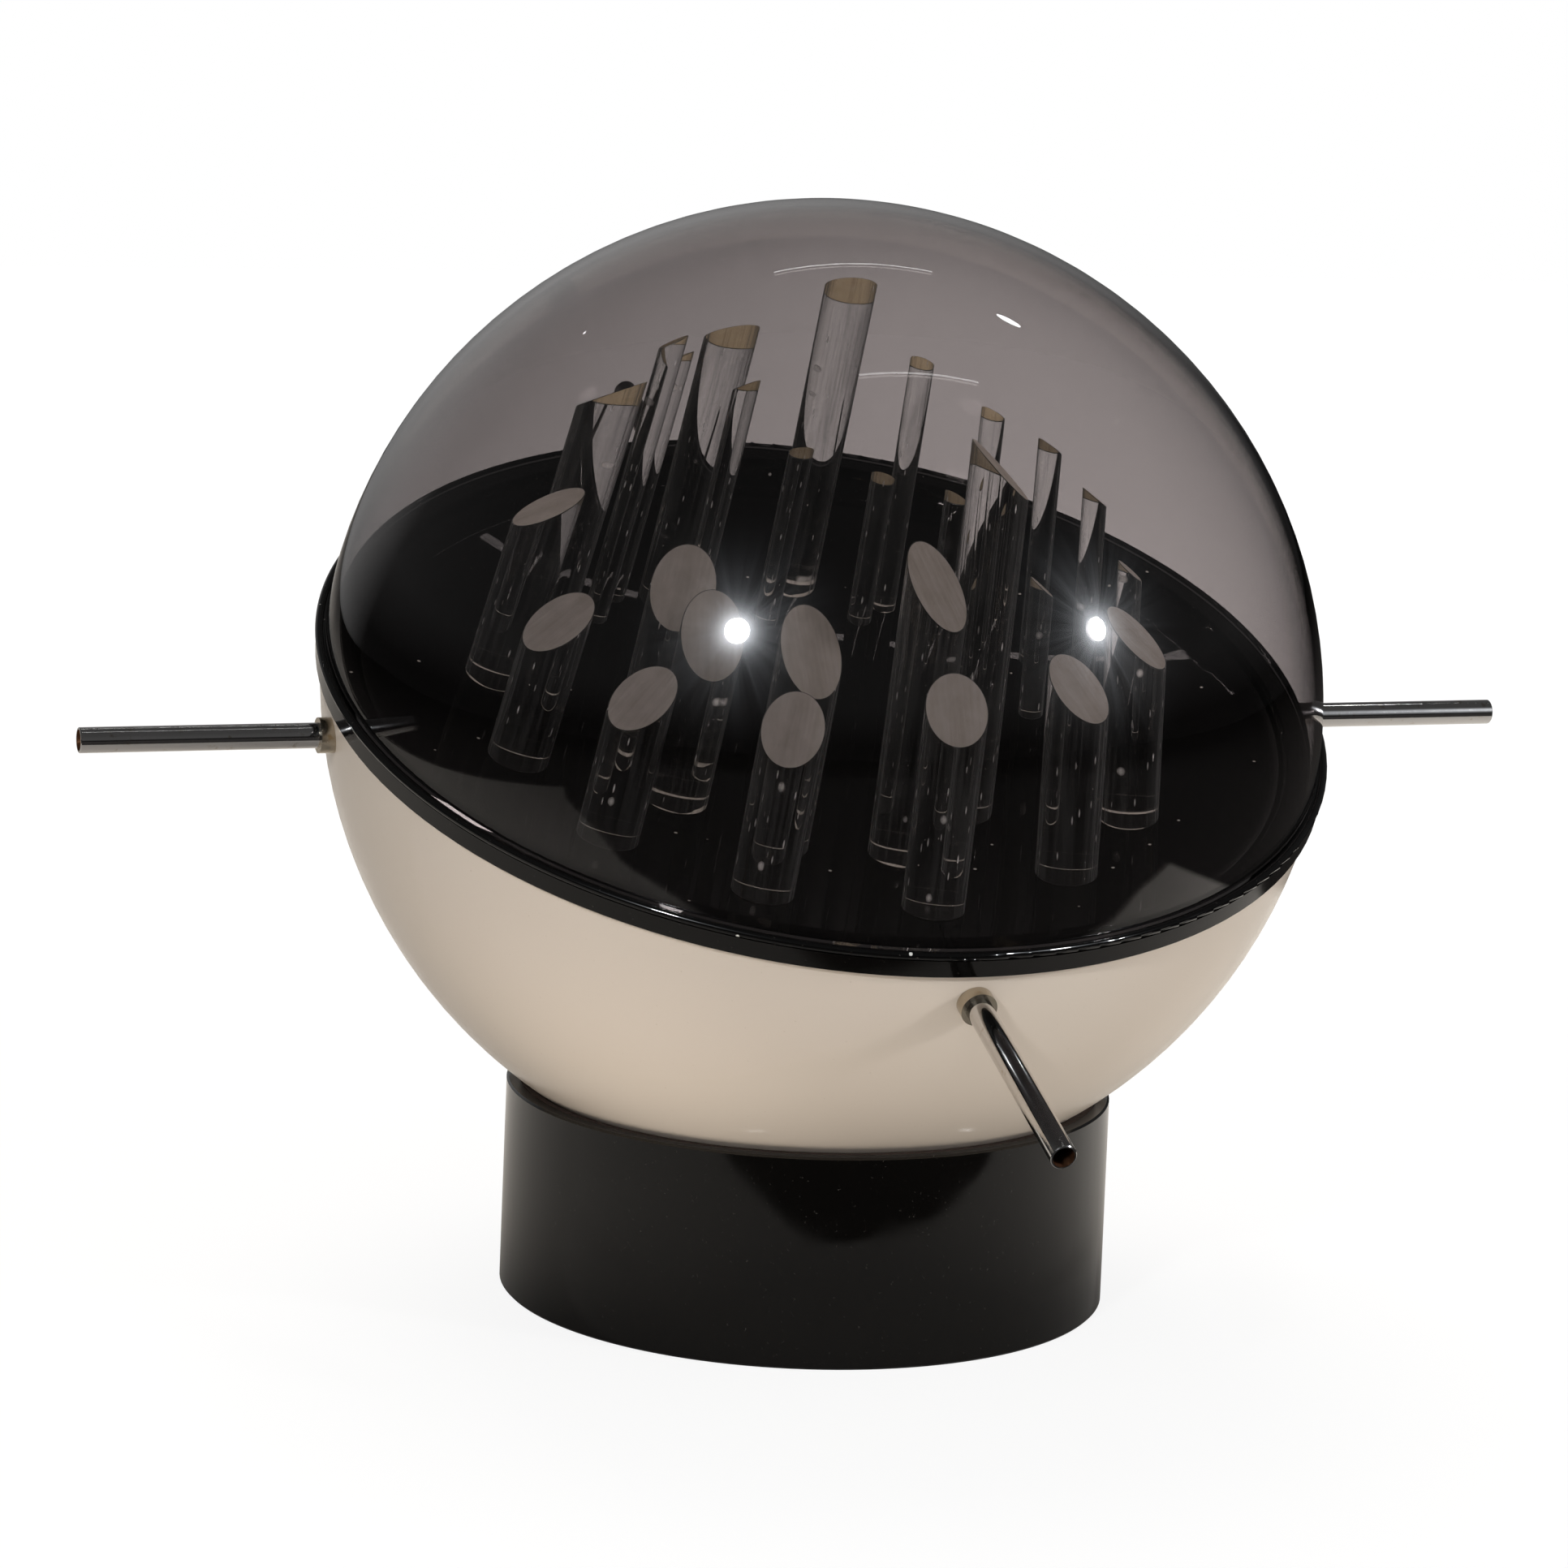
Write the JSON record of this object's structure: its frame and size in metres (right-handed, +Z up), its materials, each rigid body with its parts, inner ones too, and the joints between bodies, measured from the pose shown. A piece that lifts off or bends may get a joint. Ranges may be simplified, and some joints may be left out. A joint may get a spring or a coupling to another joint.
{
  "type": "table lamp",
  "caption": "Ball lamp: smoked dome over clear rods on a black dish, white bowl with four chromed tubes, lying loose in a round black base.",
  "frame": {"origin": "middle of the base's underside, on the base's axis", "axes": "+Z up along the base's axis, +X along the two side tubes, the ball's dome leans towards -Y"},
  "size_m": [0.596, 0.5605, 0.4382],
  "materials": {
    "black_gloss": "high gloss black plastic",
    "liner": "dark brown matt liner",
    "rubber": "matt black rubber",
    "opal_white": "glossy warm white opal plastic",
    "smoked_acrylic": "clear grey-brown smoked acrylic",
    "clear_acrylic": "clear polished acrylic with frosted ends",
    "chrome": "polished chrome",
    "collar_nickel": "worn nickel over brass",
    "zinc_steel": "zinc plated steel",
    "holder_plastic": "black moulded plastic",
    "cap_brass": "drawn brass",
    "bulb_frosted": "frosted glass"
  },
  "bodies": {
    "base": {"base": "black_gloss", "cable_grommet": "rubber"},
    "liner": {"seat_ring": "liner"},
    "ball": {"bowl": "opal_white", "rim_band": "black_gloss", "tube_right": "chrome", "tube_rear": "chrome", "tube_left": "chrome", "tube_front": "chrome", "tube_collars": "collar_nickel", "tube_nuts": "zinc_steel", "threaded_nipple": "zinc_steel", "inner_washer": "zinc_steel", "outer_washer": "zinc_steel", "lock_nut": "zinc_steel", "lampholder": "holder_plastic", "bulb_cap": "cap_brass", "bulb_glass": "bulb_frosted"},
    "rod_dish": {"dish": "black_gloss", "rod_01": "clear_acrylic", "rod_02": "clear_acrylic", "rod_03": "clear_acrylic", "rod_04": "clear_acrylic", "rod_05": "clear_acrylic", "rod_06": "clear_acrylic", "rod_07": "clear_acrylic", "rod_08": "clear_acrylic", "rod_09": "clear_acrylic", "rod_10": "clear_acrylic", "rod_11": "clear_acrylic", "rod_12": "clear_acrylic", "rod_13": "clear_acrylic", "rod_14": "clear_acrylic", "rod_15": "clear_acrylic", "rod_16": "clear_acrylic", "rod_17": "clear_acrylic", "rod_18": "clear_acrylic", "rod_19": "clear_acrylic", "rod_20": "clear_acrylic", "rod_21": "clear_acrylic", "rod_22": "clear_acrylic", "rod_23": "clear_acrylic", "rod_24": "clear_acrylic", "rod_25": "clear_acrylic", "rod_26": "clear_acrylic", "rod_27": "clear_acrylic"},
    "dome_shell": {"dome": "smoked_acrylic"}
  },
  "joints": [
    {"name": "head_turn", "type": "hinge", "parent": "base", "child": "liner", "pos_m": [0, 0, 0], "axis": [0, 0, 1], "range_deg": [-170, 170]},
    {"name": "head_tilt", "type": "hinge", "parent": "liner", "child": "ball", "pos_m": [0, 0, 0.24891], "axis": [1, 0, 0], "range_deg": [-46.5, 5]},
    {"name": "dish_lift", "type": "slide", "parent": "ball", "child": "rod_dish", "axis": [0, -0.3551, 0.9348], "range_m": [0, 0.15]},
    {"name": "dome_lift", "type": "slide", "parent": "rod_dish", "child": "dome_shell", "axis": [0, -0.3551, 0.9348], "range_m": [0, 0.2]}
  ]
}
